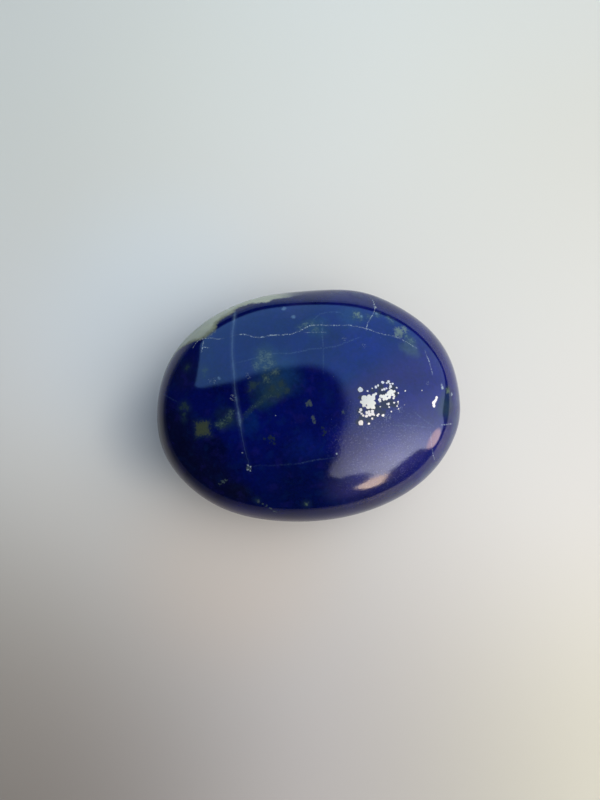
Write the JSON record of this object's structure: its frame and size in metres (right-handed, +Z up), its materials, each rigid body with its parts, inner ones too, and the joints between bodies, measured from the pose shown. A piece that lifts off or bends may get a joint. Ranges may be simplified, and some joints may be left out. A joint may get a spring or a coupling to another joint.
{
  "type": "lapis lazuli tumbled stone",
  "caption": "Polished oval pebble of deep blue lapis lazuli with pale veins, green-gold patches and bright pyrite flecks, lying on a small flat spot.",
  "frame": {"origin": "middle of the stone's box in plan, on the surface that its flat spot rests on", "axes": "+X along the stone's long way, +Y across its width, +Z up through its thickness"},
  "size_m": [0.0448, 0.034, 0.0159],
  "materials": {
    "polished_lapis": "tumbled to a high polish, with flush pyrite flecks and pale calcite veins"
  },
  "bodies": {
    "root": {"lapis_stone": "polished_lapis"}
  },
  "joints": []
}
